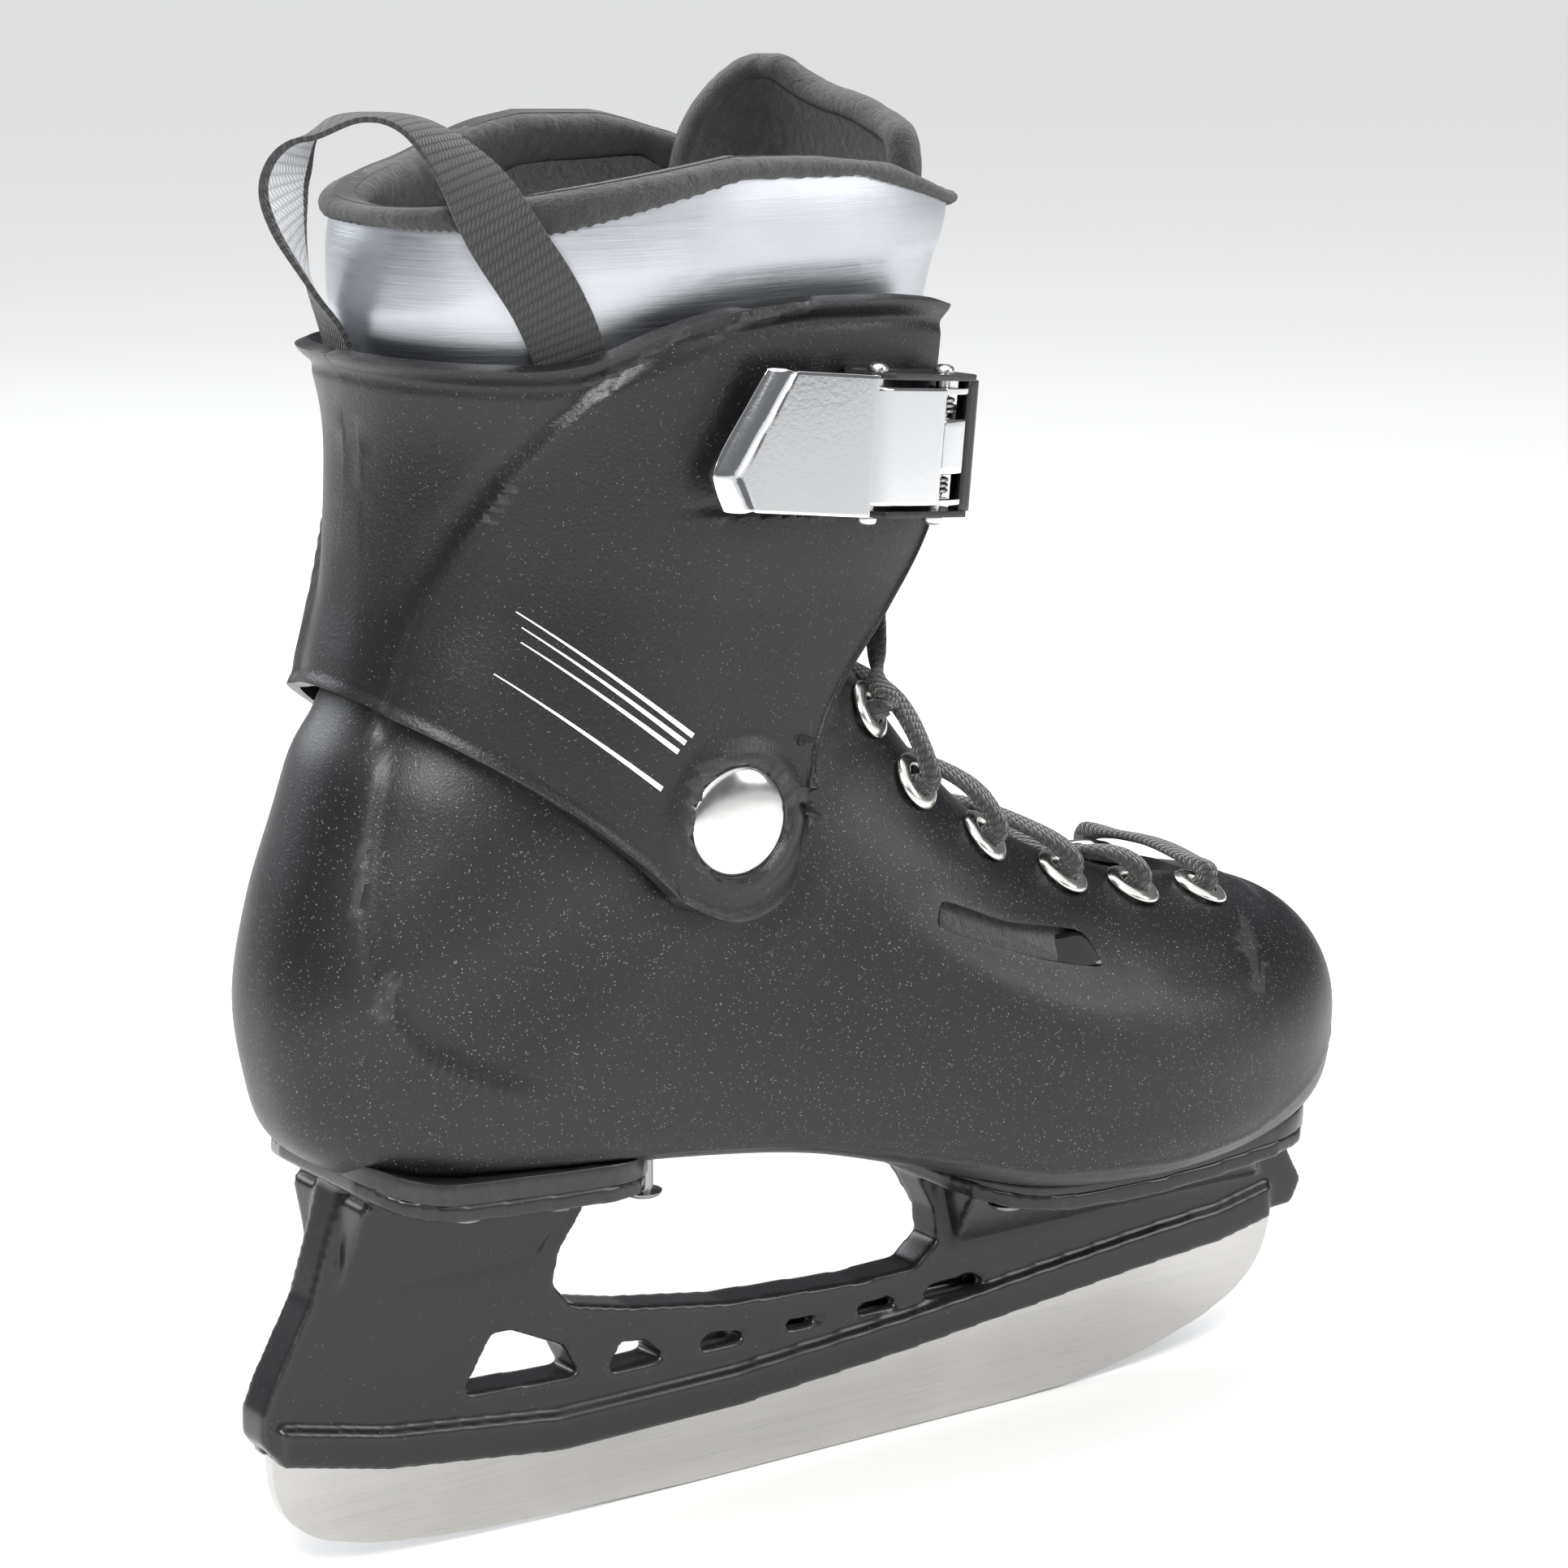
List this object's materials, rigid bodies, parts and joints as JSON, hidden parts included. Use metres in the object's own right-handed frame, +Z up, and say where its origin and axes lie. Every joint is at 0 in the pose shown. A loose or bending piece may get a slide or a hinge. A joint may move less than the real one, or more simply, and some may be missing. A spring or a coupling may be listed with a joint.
{
  "type": "ice skate",
  "caption": "Right-foot recreational ice skate: hard boot with a hinged cuff, soft liner, laces, a lever buckle and a steel blade in a riveted holder.",
  "frame": {"origin": "on the ice contact of the blade, on its middle plane, below the ankle hinge's front", "axes": "+X towards the toe, +Y towards the inner side of the foot, +Z up"},
  "size_m": [0.312, 0.1188, 0.3462],
  "materials": {
    "runner_steel": "brushed along its length",
    "holder_plastic": "semi-gloss black",
    "shell_plastic": "satin black with a fine sparkle",
    "cuff_plastic": "satin black with a fine sparkle",
    "nickel": "bright nickel",
    "chrome": "bright chrome",
    "dark_steel": "dark plated steel",
    "black_nylon": "glossy black nylon",
    "fleece": "black fleece",
    "knit": "black knit mesh",
    "webbing": "black woven webbing",
    "board": "black insole board"
  },
  "bodies": {
    "boot": {"runner": "runner_steel", "holder": "holder_plastic", "lower_shell": "shell_plastic", "heel_rivet_1": "nickel", "heel_rivet_2": "nickel", "heel_rivet_3": "nickel", "heel_rivet_4": "nickel", "heel_rivet_5": "nickel", "heel_rivet_6": "nickel", "toe_rivet_1": "nickel", "toe_rivet_2": "nickel", "toe_rivet_3": "nickel", "toe_rivet_4": "nickel", "toe_rivet_5": "nickel", "toe_rivet_6": "nickel", "eyelet_outer_1": "nickel", "eyelet_outer_2": "nickel", "eyelet_outer_3": "nickel", "eyelet_outer_4": "nickel", "eyelet_outer_5": "nickel", "eyelet_outer_6": "nickel", "eyelet_inner_1": "nickel", "eyelet_inner_2": "nickel", "eyelet_inner_3": "nickel", "eyelet_inner_4": "nickel", "eyelet_inner_5": "nickel", "eyelet_inner_6": "nickel", "footbed": "board", "liner": "fleece", "tongue": "fleece", "vent_panel_outer": "knit", "vent_panel_inner": "knit", "lace": "webbing", "pivot_nut_outer": "dark_steel", "pivot_nut_inner": "dark_steel", "pivot_bolt_outer": "chrome", "pivot_bolt_inner": "chrome"},
    "cuff": {"cuff": "cuff_plastic", "buckle_base": "black_nylon", "buckle_rivet_front": "dark_steel", "buckle_rivet_rear": "dark_steel", "lever_pin": "dark_steel", "pawl_pin": "dark_steel", "lever_spring_upper": "dark_steel", "lever_spring_lower": "dark_steel", "ladder_strap": "black_nylon", "ladder_rivet": "dark_steel", "pull_loop": "webbing"},
    "lever": {"buckle_lever": "chrome"},
    "pawl": {"buckle_pawl": "black_nylon"}
  },
  "joints": [
    {"name": "cuff_flex", "type": "hinge", "parent": "boot", "child": "cuff", "pos_m": [-0.028, 0, 0.177], "axis": [0, 1, 0], "range_deg": [-4, 12], "stiffness_Nm_per_rad": 12, "deforming": ["liner", "tongue"]},
    {"name": "lever_open", "type": "hinge", "parent": "cuff", "child": "lever", "pos_m": [0.02189, -0.05488, 0.259], "axis": [0.1125, 0.0275, 0.9933], "range_deg": [0, 110]},
    {"name": "pawl_lift", "type": "hinge", "parent": "cuff", "child": "pawl", "pos_m": [0.0004, -0.05901, 0.26155], "axis": [0.1125, 0.0275, 0.9933], "range_deg": [-14, 0], "stiffness_Nm_per_rad": 0.03}
  ]
}
